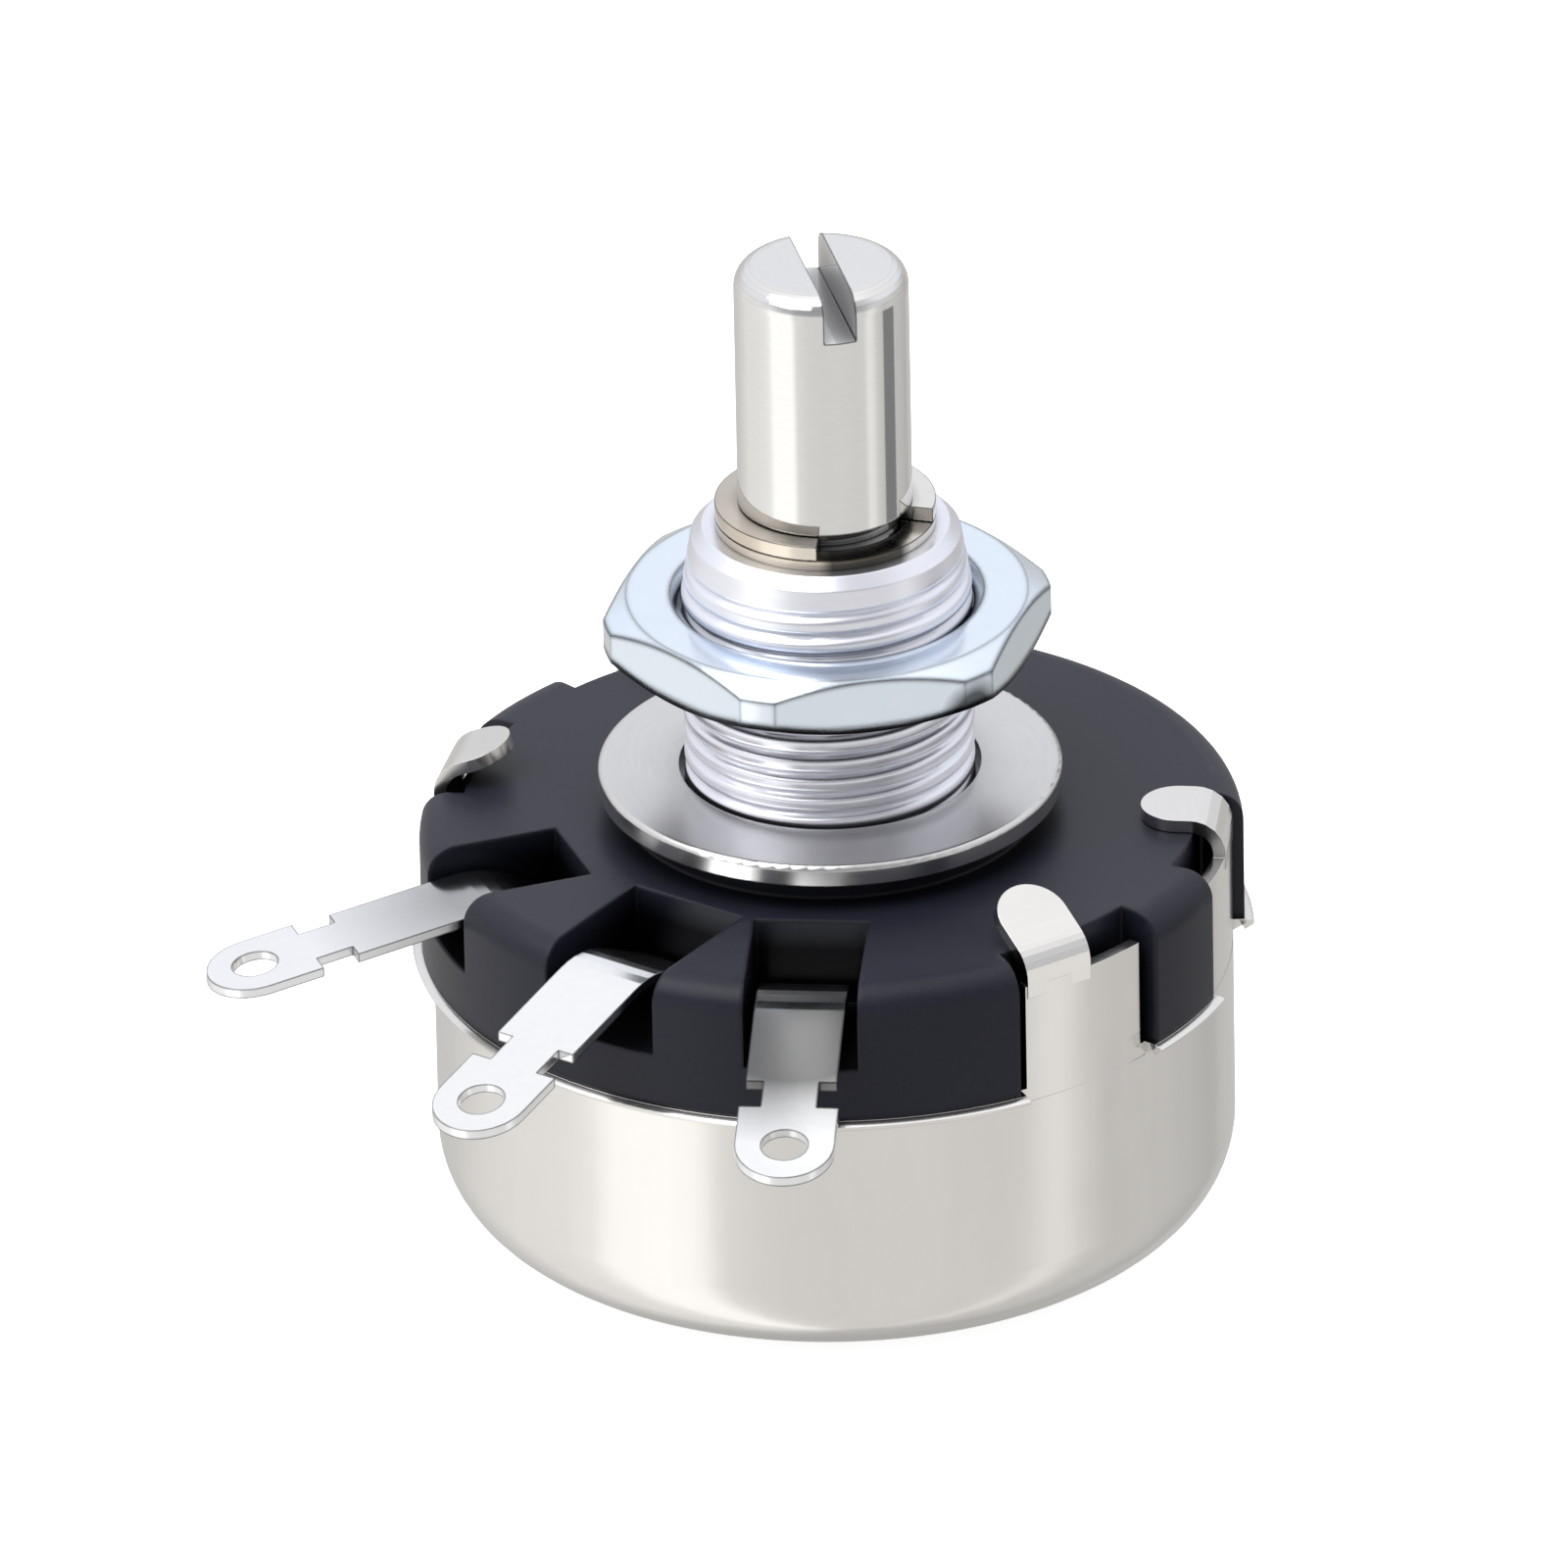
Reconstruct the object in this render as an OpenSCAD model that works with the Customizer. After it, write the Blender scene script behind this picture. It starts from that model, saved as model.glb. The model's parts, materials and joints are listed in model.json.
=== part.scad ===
// Panel potentiometer with a wire-wound track, a slotted shaft and three solder lugs.
// The origin is the centre of the can's flat bottom, +Z runs up the shaft,
// and the middle lug points along -Y.

/* [Can] */
// Outer radius of the sheet-metal can
can_r = 13.8; // [13.4:0.1:16]
// Height of the can up to its rim
can_h = 10; // [9.6:0.1:14]
// Thickness of the can's sheet
sheet_t = 0.45; // [0.3:0.05:0.6]
// Outer radius of the can's drawn bottom corner
can_corner_r = 3; // [1.2:0.1:3.4]
// Flare of the rim beyond the wall
lip_out = 0.45; // [0.1:0.05:0.5]
// Height of the flared rim
lip_h = 0.5; // [0.3:0.05:0.8]
// Step from the wall in to each strip's outer face
strip_step = 0.02; // [0.01:0.01:0.1]
// Angle left between the rim's flare and each strip
lip_gap = 1; // [0.5:0.1:1.5]
// Direction of the strips nearer the lugs, on either side of the middle lug
near_strip_at = 73.5; // [70:0.5:76]
// Direction of the strips farther from the lugs
far_strip_at = 113.5; // [106:0.5:125]
// Angle that one strip spans
strip_span = 21; // [16:1:24]
// Width of the tab that is folded over the housing
tab_w = 2.6; // [2:0.1:3.2]
// Height of each strip's shoulder below the housing's top
shoulder_d = 0.9; // [0.3:0.1:1.5]
// Angle that each tab is folded through: near right, far right, near left, far left
tab_fold = [60, 90, 70, 90]; // [40:1:90]
// Height of each tab's bend above the seated bend, in the same order
tab_lift = [0.05, 0, 0.5, 0]; // [0:0.05:1]
// Reach of a seated tab over the housing, from the can's inner wall
tab_reach = 2.6; // [1.8:0.1:3]
// Inner radius of the tabs' bend
tab_bend_r = 0.8; // [0.4:0.05:0.85]

/* [Housing] */
// Overhang of the housing's flange beyond the can's wall
flange_out = 0.4; // [0.2:0.05:2]
// Height of the housing above the can's rim
flange_h = 4.8; // [4.2:0.1:7]
// Radius of the housing's rounded top edge
top_edge_r = 1; // [0.3:0.1:1.3]
// Radius of the raised boss under the mounting washer
boss_r = 7.1; // [6.8:0.1:7.6]
// Height of the boss
boss_h = 0.95; // [0.8:0.05:2]
// Depth of the solid floor below the can's rim
spigot_h = 1; // [0.6:0.1:2]
// Thickness of the skirt that holds the track
skirt_t = 1.2; // [0.8:0.1:1.3]
// Depth of the recess behind each strip, from the strip's inner face
recess_d = 0.65; // [0.6:0.05:1]
// Angle between a strip and each side of its recess
recess_margin = 1.8; // [1:0.2:4]
// Width of the pocket around the start, middle and end lug
pocket_w = [3.7, 4.4, 3.9]; // [3.6:0.1:4.6]
// Length of each pocket, from the housing's rim to its back wall, in the same order
pocket_len = [4.8, 5.6, 5.5]; // [4.6:0.1:5.7]
// Depth of the pockets below the housing's top
pocket_d = 2.9; // [2.6:0.1:3.6]
// Angle on each side of the middle lug that the end stop fills
stop_half = 19; // [12:1:20]
// Radial depth of the end stop
stop_d = 2.3; // [2.1:0.1:2.6]

/* [Bushing] */
// Outer radius of the bushing's thread
thread_r = 5; // [4.8:0.1:5.2]
// Length of the threaded barrel above the boss
thread_len = 9.95; // [8:0.05:16]
// Length of the taper at the top of the thread
lead_h = 2.4; // [0.8:0.1:3]
// Drop in radius over that taper
lead_drop = 0.35; // [0.2:0.05:0.5]
// Chamfer at the top of the barrel
barrel_edge = 0.4; // [0.2:0.05:0.5]
// Radius of the bushing's shank in the housing
shank_r = 4.3; // [4:0.1:4.4]
// Radius of the bushing's seated collar
seat_r = 6.3; // [5.8:0.1:6.5]
// Thickness of the seated collar
seat_t = 0.7; // [0.4:0.1:0.8]
// Height of the staked rim under the housing
stake_h = 0.4; // [0.3:0.1:0.5]
// Width of the staked rim around the shank
stake_w = 0.4; // [0.2:0.1:0.4]

/* [Nut and washer] */
// Distance across the nut's flats
nut_af = 14; // [13:0.5:15]
// Thickness of the nut
nut_t = 2.05; // [1.6:0.05:3]
// Step from the nut's flats in to the round face left by its chamfer
nut_face_in = 0.1; // [0.05:0.05:0.5]
// Size of the lead-in chamfer at each end of the nut's bore
nut_lead = 0.35; // [0.2:0.05:0.5]
// Overhang of the nut's turned corners beyond its flats
nut_corner_out = 0.75; // [0.3:0.05:0.9]
// Height of the nut above the washer as it stands on the thread
nut_gap = 4.5; // [0.5:0.1:5]
// Direction of one corner of the nut
nut_turn = 16.5; // [0:0.5:60]
// Outer radius of the mounting washer
washer_r = 8; // [7.5:0.1:10]
// Thickness of the mounting washer
washer_t = 0.75; // [0.4:0.05:1.5]

/* [Shaft] */
// Radius of the shaft
shaft_r = 3; // [2.5:0.1:3.2]
// Length of shaft that stands out of the bushing
shaft_out = 9.8; // [8:0.1:40]
// Height of the rounded end of the shaft
tip_h = 0.75; // [0.3:0.05:1]
// Drop in radius over the rounded end
tip_drop = 0.75; // [0.3:0.05:1]
// Width of the screwdriver slot
slot_w = 1.1; // [0.8:0.1:1.4]
// Depth of the screwdriver slot
slot_d = 1.6; // [1:0.1:2]
// Direction of the slot
slot_turn = 47; // [0:1:180]
// Depth of the clip's groove
groove_d = 0.4; // [0.2:0.05:0.6]
// Radius of the collar that carries the shaft's thrust
collar_r = 3.9; // [3.6:0.1:3.9]
// Thickness of the thrust collar
collar_t = 0.95; // [0.6:0.05:1]
// Radius of the riveted tail
tail_r = 2.2; // [1.8:0.1:2.3]
// Overhang of the tail's riveted head
tail_head_w = 0.6; // [0.4:0.1:0.8]
// Height of the tail's riveted head
tail_head_h = 0.6; // [0.4:0.1:0.7]
// Outer radius of the retaining clip
clip_r = 3.8; // [3.6:0.1:4.1]
// Thickness of the retaining clip
clip_t = 0.5; // [0.3:0.05:0.7]
// Angle of the clip's open mouth
clip_mouth = 80; // [40:5:110]
// Direction of the clip's mouth
clip_turn = 70; // [0:1:360]
// Thickness of the thin washer under the clip
clip_washer_t = 0.35; // [0.2:0.05:0.6]
// Thickness of the thrust washer inside
thrust_t = 0.3; // [0.2:0.05:0.5]

/* [Lugs] */
// Direction of the start, middle and end lug
lug_at = [-35.5, 0, 30]; // [-40:0.5:40]
// Thickness of the lugs' sheet
lug_t = 0.34; // [0.3:0.02:0.5]
// Width of a lug's strip
lug_w = 3.1; // [2.4:0.1:3.2]
// Width of a lug's neck between the notches
neck_w = 1.9; // [1.4:0.1:2.2]
// Width of a lug's round head
head_w = 3.4; // [3:0.1:3.8]
// Radius of the wire eyelet
eyelet_r = 0.8; // [0.5:0.05:1]
// Distance of the eyelets' centres beyond the housing's rim
eyelet_out = 6.8; // [6:0.1:10]
// Distance of the neck's inner end beyond the housing's rim
neck_out = 3.6; // [2.4:0.1:3.8]
// Length of the neck
neck_len = 1.3; // [0.8:0.1:1.5]
// Depth of the eyelets' centres below the housing's top
eyelet_d = 2.25; // [1.5:0.05:2.4]
// Distance of each lug's crest inside the housing's rim: start, middle and end lug
crest_in = [2.2, 1.4, 1.4]; // [0.8:0.1:2.4]
// Depth of each crest below the housing's top, before the crest is rounded
crest_d = [0.7, 0.3, 0.3]; // [0.2:0.1:1]
// Radius of the bend at a lug's crest
crest_bend_r = 3.5; // [1:0.1:3.6]
// Radius of a lug's bends inside the housing
foot_bend_r = 0.4; // [0.3:0.05:0.45]

/* [Track] */
// Thickness of the insulating card that carries the winding
card_t = 0.7; // [0.5:0.05:0.8]
// Height of the card
card_h = 4.25; // [3.9:0.05:4.3]
// Diameter of the resistance wire
wire_d = 0.35; // [0.25:0.01:0.36]
// Number of turns of wire
turns = 96; // [40:4:140]
// Angle on each side of the middle lug that the track leaves free
track_gap = 38; // [36:1:42]
// Angle that one end clamp spans
clamp_span = 5; // [3:0.5:6]
// Angle between an end clamp and the first turn of wire
clamp_gap = 0.5; // [0.3:0.1:1]
// Thickness of the end clamps' sheet
clamp_t = 0.3; // [0.2:0.05:0.34]
// Inner radius of the collector ring
ring_in_r = 4.9; // [4.85:0.05:5]
// Outer radius of the collector ring
ring_out_r = 6.4; // [6.2:0.1:6.6]
// Thickness of the collector ring
ring_t = 0.4; // [0.2:0.05:0.45]
// Gap between the collector ring's ear and the lug's leg
ear_gap = 0.23; // [0.1:0.01:0.5]

/* [Rotor] */
// Radius of the insulating rotor disc
rotor_r = 7.6; // [7:0.1:8.5]
// Thickness of the rotor disc
rotor_t = 1.7; // [1.2:0.1:1.8]
// Thickness of the wiper arm
arm_t = 0.3; // [0.2:0.05:0.4]
// Width of the wiper arm at its tip
arm_w = 2.2; // [1.6:0.1:3]
// Width of the wiper arm's hub
hub_w = 6.8; // [6:0.1:8]
// Height of the wiper brush
brush_h = 0.6; // [0.4:0.05:0.7]
// Radius of the wiper brush
brush_r = 0.7; // [0.5:0.05:0.8]
// Radius of the rotor's rivets
rivet_r = 0.55; // [0.4:0.05:0.6]
// Distance of the rivets from the shaft's axis
rivet_at = 4.8; // [4.6:0.1:5]
// Radius of the rivets' heads
rivet_head_r = 0.9; // [0.8:0.05:1]
// Height of the rivets' heads
rivet_head_h = 0.3; // [0.2:0.05:0.35]
// Thickness of the take-off spring
spring_t = 0.25; // [0.15:0.05:0.3]
// Width of the take-off spring
spring_w = 1.4; // [1:0.1:1.6]
// Half length of the spring's riveted foot
spring_foot = 1.1; // [1:0.1:1.4]
// Length of the spring's arm up to the collector ring
spring_arm = 2.2; // [1.8:0.1:2.6]
// Length of the spring's turned-down tip
spring_tip = 0.8; // [0.5:0.1:1]
// Thickness of the stop plate
stop_t = 1.1; // [0.8:0.1:1.1]
// Full angle that the shaft turns through
travel = 270; // [240:5:275]
// Angle left between the stop plate and the end stop at full turn
stop_margin = 0.6; // [0.3:0.1:1]
// Thickness of the insulating liner on the can's bottom
liner_t = 0.3; // [0.1:0.05:0.4]

/* [Clearances] */
// Radial running gap of the shaft in its bores
run_gap = 0.03; // [0.02:0.01:0.08]
// Gap around pieces that are pressed or staked
seat_gap = 0.03; // [0.02:0.01:0.05]
// Gap of pieces that slide past each other
slide_gap = 0.06; // [0.05:0.01:0.1]
// Gap of the washer and nut around the thread
thread_gap = 0.05; // [0.05:0.01:0.1]

/* [Hidden] */
$fn = 96;

// Size of the bodies that cut right through, and how far a cut overshoots
far = 60;
cut = 1;

// Heights of the stack above the can's bottom
can_in_r = can_r - sheet_t;
housing_r = can_r + flange_out;
top_z = can_h + flange_h;
shoulder_z = top_z - shoulder_d;
boss_z = top_z + boss_h;
barrel_z = boss_z + thread_len;
clip_z = barrel_z + clip_washer_t;
shaft_z = barrel_z + shaft_out;
washer_z = boss_z + washer_t;
nut_z = washer_z + nut_gap;

// Heights of the parts inside, hung from the housing's floor
floor_z = can_h - spigot_h;
winding_h = card_h + 2 * wire_d;
winding_z = floor_z - winding_h;
brush_z = winding_z - slide_gap;
rotor_z = brush_z - brush_h;
rotor_top_z = rotor_z + rotor_t;
arm_z = rotor_z - arm_t;
stake_z = floor_z - stake_h;
thrust_z = stake_z - thrust_t;
collar_z = thrust_z - slide_gap - collar_t;
stop_z = collar_z - stop_t;
ring_z = floor_z - ring_t;

// Radii of the track, set against the skirt
skirt_out_r = can_in_r - slide_gap;
skirt_in_r = skirt_out_r - skirt_t;
winding_out_r = skirt_in_r - seat_gap;
card_out_r = winding_out_r - wire_d;
card_in_r = card_out_r - card_t;
winding_in_r = card_in_r - wire_d;
track_r = (winding_out_r + winding_in_r) / 2;
stop_in_r = skirt_in_r - stop_d;
stop_arm_r = winding_in_r - 5 * slide_gap;
stop_arm_half = (360 - travel) / 2 - stop_half - stop_margin;

// Directions of the four strips, and the side of each that its tab is on
strip_at = [near_strip_at, far_strip_at, -near_strip_at, -far_strip_at];
tab_side = [-1, 1, 1, -1];

// Middle and half angle of each span of the rim between two strips
side_at = (near_strip_at + far_strip_at) / 2;
side_half = (far_strip_at - near_strip_at - strip_span) / 2;
open_spans = [[0, near_strip_at - strip_span / 2], [180, 180 - far_strip_at - strip_span / 2],
    [side_at, side_half], [-side_at, side_half]];

// Floor and back walls of the lug pockets, and where the lugs' necks and eyelets are
pocket_z = top_z - pocket_d;
pocket_back_r = [for (l = pocket_len) housing_r - l];
neck_at = housing_r + neck_out;
eyelet_at = housing_r + eyelet_out;

// Reach of the collector ring's ear, and where the lugs' feet end as distance and height
ear_r = pocket_back_r[1] - ear_gap + seat_gap;
end_toe = [winding_in_r - slide_gap, floor_z - foot_bend_r];
wiper_toe = [(2 * ring_out_r + ear_r) / 3, ring_z - lug_t / 2];

// A rising or falling band of sheet along a path of points, as a side view
function unit(v) = v / norm(v);
function left_of(v) = [-v[1], v[0]];
function side_dir(p, i) =
    let (a = unit(p[max(i, 1)] - p[max(i, 1) - 1]),
         b = unit(p[min(i, len(p) - 2) + 1] - p[min(i, len(p) - 2)]),
         m = unit(left_of(a + b)))
    m / (m * left_of(a));
function band(p, t) = concat(
    [for (i = [0:len(p) - 1]) p[i] + side_dir(p, i) * t / 2],
    [for (i = [len(p) - 1:-1:0]) p[i] - side_dir(p, i) * t / 2]);

// One rounded corner of a path: its points on an arc of radius r
function corner(a, b, c, r, n = 6) =
    let (u = unit(a - b), v = unit(c - b), half = acos(u * v) / 2,
         m = b + unit(u + v) * r / sin(half),
         s = b + u * r / tan(half) - m, e = b + v * r / tan(half) - m)
    [for (i = [0:n]) m + unit(s * (n - i) + e * i) * r];

// A flat ring, or a sector of one that is centred on -Y
module ring(r_in, r_out, h, z = 0) {
    translate([0, 0, z]) difference() {
        cylinder(r = r_out, h = h);
        translate([0, 0, -cut]) cylinder(r = r_in, h = h + 2 * cut);
    }
}
module sector(r_in, r_out, half, h, z = 0) {
    translate([0, 0, z]) rotate([0, 0, -90 - half])
        rotate_extrude(angle = 2 * half) translate([r_in, 0]) square([r_out - r_in, h]);
}

// Turns a shape that points along -Y to the direction a
module facing(a) {
    rotate([0, 0, a]) children();
}

// Extrudes a side view, drawn as distance and height, to a band that points along -Y
module swept(points, w) {
    rotate([90, 0, -90]) linear_extrude(height = w, center = true) polygon(points);
}

// The can's cup
module cup_outline(r, z, h, corner_r) {
    translate([0, z]) {
        square([r - corner_r, h]);
        translate([0, corner_r]) square([r, h - corner_r]);
        translate([r - corner_r, corner_r]) intersection() {
            circle(r = corner_r, $fn = 48);
            translate([0, -corner_r]) square(corner_r);
        }
    }
}

// The can's bottom, wall and flared rim, with the wall drawn up to the strips' shoulders
module can_outline() {
    edge_t = sheet_t / 3;
    difference() {
        union() {
            cup_outline(can_r, 0, shoulder_z, can_corner_r);
            polygon([
                [can_r - edge_t, can_h - lip_h], [can_r + lip_out, can_h - edge_t],
                [can_r + lip_out, can_h], [can_r - edge_t, can_h]]);
        }
        cup_outline(can_in_r, sheet_t, shoulder_z, can_corner_r - sheet_t);
    }
}

// A flat tab with a round tip, from inside a strip's shoulder round its bend
module tab(angle, lift) {
    bend_z = top_z + seat_gap - tab_bend_r + lift;
    mid_r = tab_bend_r + sheet_t / 2;
    straight = tab_reach - tab_bend_r - lift + mid_r * (90 - angle) * PI / 180;
    reach = mid_r * tan(angle / 2);
    foot = [can_in_r + sheet_t / 2 - seat_gap, shoulder_z - sheet_t];
    bend = [foot[0], bend_z + reach];
    tip = bend + (reach + straight) * [-sin(angle), cos(angle)];
    path = concat([foot], corner(foot, bend, tip, mid_r), [tip]);
    intersection() {
        swept(band(path, sheet_t), 2 * tab_w);
        union() {
            translate([-tab_w / 2, -far, 0]) cube([tab_w, far - can_in_r + tab_bend_r, far]);
            translate([0, mid_r - foot[0], bend_z]) rotate([-angle, 0, 0]) {
                translate([0, 0, straight - tab_w / 2]) rotate([90, 0, 0])
                    cylinder(r = tab_w / 2, h = 4 * tab_bend_r, center = true);
                translate([-tab_w / 2, -2 * tab_bend_r, -tab_bend_r])
                    cube([tab_w, 4 * tab_bend_r, straight - tab_w / 2 + tab_bend_r]);
            }
        }
    }
}

// The drawn can is opened between the strips, and its rim is left flat at each strip
module can() {
    tab_turn = strip_span / 2 - asin((tab_w / 2 + seat_gap) / can_in_r);
    color([0.84, 0.83, 0.80]) {
        difference() {
            facing(90) rotate_extrude() can_outline();
            for (span = open_spans) facing(span[0])
                sector(can_in_r - cut, far, span[1], far, can_h);
            for (a = strip_at) facing(a)
                sector(can_r - strip_step, far, strip_span / 2 + lip_gap, far, can_h - lip_h);
        }
        for (i = [0:3])
            facing(strip_at[i] + tab_side[i] * tab_turn) tab(tab_fold[i], tab_lift[i]);
    }
}

module liner_disc() {
    color([0.55, 0.45, 0.30])
        translate([0, 0, sheet_t])
            cylinder(r = can_r - can_corner_r - slide_gap, h = liner_t);
}

// The moulded housing
module housing_blank() {
    rotate_extrude() {
        translate([0, can_h]) square([housing_r, flange_h - top_edge_r]);
        square_top = housing_r - top_edge_r;
        translate([0, can_h]) square([square_top, flange_h]);
        translate([square_top, top_z - top_edge_r]) circle(r = top_edge_r);
        translate([0, top_z - cut]) square([boss_r, boss_h + cut]);
        translate([0, floor_z]) square([skirt_out_r, spigot_h + cut]);
    }
    ring(skirt_in_r, skirt_out_r, winding_h + cut, winding_z);
    sector(stop_in_r, skirt_in_r + cut / 2, stop_half, floor_z + cut - stop_z, stop_z);
}
module pocket(w, back_r) {
    slit = lug_t + 2 * seat_gap;
    slit_w = lug_w + 2 * seat_gap;
    translate([-w / 2, -far, pocket_z]) cube([w, far - back_r, far]);
    translate([-slit_w / 2, -back_r - slit, floor_z - cut])
        cube([slit_w, slit, pocket_z - floor_z + 2 * cut]);
}
module recess() {
    half = strip_span / 2 + recess_margin;
    sector(can_in_r - recess_d, far, half, far, can_h);
    sector(can_in_r, far, half, far, can_h - cut);
}
module housing() {
    color([0.10, 0.10, 0.12]) difference() {
        housing_blank();
        translate([0, 0, floor_z - cut]) cylinder(r = shank_r + seat_gap, h = far);
        translate([0, 0, boss_z - seat_t]) cylinder(r = seat_r + seat_gap, h = far);
        for (i = [0:2]) facing(lug_at[i]) pocket(pocket_w[i], pocket_back_r[i]);
        for (a = strip_at) facing(a) recess();
    }
}

// Bushing, washer and nut
module bushing() {
    color([0.86, 0.86, 0.90]) rotate_extrude() {
        bore = shaft_r + run_gap;
        polygon([
            [bore, stake_z], [shank_r + stake_w, stake_z], [shank_r + stake_w, floor_z],
            [shank_r, floor_z], [shank_r, boss_z - seat_t], [seat_r, boss_z - seat_t],
            [seat_r, boss_z], [thread_r, boss_z], [thread_r, barrel_z - lead_h],
            [thread_r - lead_drop, barrel_z - barrel_edge],
            [thread_r - lead_drop - barrel_edge, barrel_z], [bore, barrel_z]]);
    }
}
module mounting_washer() {
    edge_r = washer_t / 4;
    color([0.80, 0.80, 0.83]) rotate_extrude() {
        hole = thread_r + 4 * thread_gap;
        translate([hole, boss_z]) square([washer_r - hole - edge_r, washer_t]);
        translate([hole, boss_z]) square([washer_r - hole, washer_t - edge_r]);
        translate([washer_r - edge_r, washer_z - edge_r]) circle(r = edge_r, $fn = 32);
    }
}
module mounting_nut() {
    corner_r = nut_af / 2 / cos(30);
    face_r = nut_af / 2 - nut_face_in;
    rise = (corner_r + cut - face_r) * tan(30);
    bore = thread_r + thread_gap;
    color([0.80, 0.85, 0.92]) translate([0, 0, nut_z]) difference() {
        intersection() {
            rotate([0, 0, nut_turn - 90]) cylinder(r = corner_r, h = nut_t, $fn = 6);
            cylinder(r = nut_af / 2 + nut_corner_out, h = nut_t);
            rotate_extrude() polygon([
                [0, 0], [face_r, 0], [corner_r + cut, rise], [corner_r + cut, nut_t - rise],
                [face_r, nut_t], [0, nut_t]]);
        }
        translate([0, 0, -cut]) cylinder(r = bore, h = nut_t + 2 * cut);
        rotate_extrude() polygon([
            [0, nut_t - nut_lead], [bore, nut_t - nut_lead],
            [bore + nut_lead + cut, nut_t + cut], [0, nut_t + cut]]);
        rotate_extrude() polygon([
            [0, nut_lead], [bore, nut_lead], [bore + nut_lead + cut, -cut], [0, -cut]]);
    }
}

// Shaft and what holds it
module shaft() {
    groove_r = shaft_r - groove_d;
    groove_top = clip_z + clip_t + 2 * seat_gap;
    head_z = arm_z - tail_head_h;
    tip = [for (a = [0:15:90])
        [shaft_r - tip_drop * (1 - cos(a)), shaft_z - tip_h * (1 - sin(a))]];
    color([0.80, 0.79, 0.77]) difference() {
        rotate_extrude() polygon(concat([
            [0, head_z], [tail_r + tail_head_w / 2, head_z],
            [tail_r + tail_head_w, head_z + tail_head_h / 2], [tail_r + tail_head_w, arm_z],
            [tail_r, arm_z], [tail_r, rotor_top_z], [shaft_r, rotor_top_z],
            [shaft_r, collar_z], [collar_r, collar_z], [collar_r, collar_z + collar_t],
            [shaft_r, collar_z + collar_t], [shaft_r, clip_z], [groove_r, clip_z],
            [groove_r, groove_top], [shaft_r, groove_top]], tip, [[0, shaft_z]]));
        facing(slot_turn) translate([-slot_w / 2, -far / 2, shaft_z - slot_d])
            cube([slot_w, far, far]);
    }
}
module clip_washer() {
    color([0.62, 0.52, 0.38])
        ring(shaft_r + run_gap, clip_r, clip_washer_t, barrel_z);
}
module retaining_clip() {
    clip_in_r = shaft_r - groove_d + seat_gap;
    color([0.70, 0.69, 0.66]) facing(clip_turn + 180)
        sector(clip_in_r, clip_r, 180 - clip_mouth / 2, clip_t, clip_z + seat_gap);
}
module thrust_washer() {
    color([0.75, 0.62, 0.35])
        ring(shaft_r + run_gap, shank_r + stake_w / 2, thrust_t, thrust_z);
}

// Lugs, each along its own path down through the housing
module lug_plan() {
    neck_end = neck_at + neck_len;
    translate([-lug_w / 2, -neck_at]) square([lug_w, neck_at]);
    translate([-neck_w / 2, -neck_end - cut]) square([neck_w, neck_len + 2 * cut]);
    translate([-head_w / 2, -eyelet_at]) square([head_w, eyelet_at - neck_end]);
    translate([0, -eyelet_at]) circle(r = head_w / 2);
}
module lug(i, toe) {
    leg_at = pocket_back_r[i] + seat_gap + lug_t / 2;
    heel = [leg_at, toe[1]];
    knee = [leg_at, pocket_z + lug_t];
    crest = [housing_r - crest_in[i], top_z - crest_d[i] - lug_t / 2];
    eyelet = [eyelet_at, top_z - eyelet_d];
    blade = unit(eyelet - crest);
    blade_end = eyelet + blade * (head_w / 2 + cut);
    path = concat([toe], corner(toe, heel, knee, foot_bend_r),
        corner(heel, knee, crest, foot_bend_r),
        corner(knee, crest, blade_end, crest_bend_r), [blade_end]);
    difference() {
        intersection() {
            swept(band(path, lug_t), head_w + cut);
            linear_extrude(height = far) lug_plan();
        }
        translate([0, -eyelet[0], eyelet[1]]) rotate([asin(-blade[1]), 0, 0])
            cylinder(r = eyelet_r, h = 4 * lug_t, center = true);
    }
}
module lug_start() {
    color([0.82, 0.82, 0.84]) facing(lug_at[0]) lug(0, end_toe);
}
module lug_wiper() {
    color([0.90, 0.90, 0.92]) facing(lug_at[1]) lug(1, wiper_toe);
}
module lug_end() {
    color([0.76, 0.77, 0.78]) facing(lug_at[2]) lug(2, end_toe);
}

// Resistance track
module winding_former() {
    color([0.60, 0.45, 0.25]) facing(180)
        sector(card_in_r, card_out_r, 180 - track_gap, card_h, winding_z + wire_d);
}
module resistance_winding() {
    start = track_gap + clamp_span + clamp_gap;
    pitch = (360 - 2 * start) / turns;
    ridge = wire_d / 3;
    color([0.72, 0.66, 0.58]) difference() {
        translate([0, 0, winding_z]) linear_extrude(height = winding_h) polygon(concat(
            [for (i = [0:2 * turns]) let (a = start + i * pitch / 2 - 90)
                (winding_out_r - (i % 2 == 0 ? ridge : 0)) * [cos(a), sin(a)]],
            [for (i = [2 * turns:-1:0]) let (a = start + i * pitch / 2 - 90)
                (winding_in_r + (i % 2 == 0 ? ridge : 0)) * [cos(a), sin(a)]]));
        facing(180) sector(card_in_r - seat_gap / 2, card_out_r + seat_gap / 2,
            180 - start + pitch, card_h + seat_gap, winding_z + wire_d - seat_gap / 2);
    }
}
module end_clamps() {
    mid = track_gap + clamp_span / 2;
    color([0.80, 0.66, 0.32])
        for (side = [-1, 1]) facing(side * mid) difference() {
            sector(card_in_r - clamp_t, card_out_r + clamp_t, clamp_span / 2,
                card_h + clamp_t, floor_z - card_h - wire_d - clamp_t);
            sector(card_in_r - seat_gap / 2, card_out_r + seat_gap / 2, clamp_span,
                far, winding_z + wire_d - seat_gap / 2);
        }
}
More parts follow.
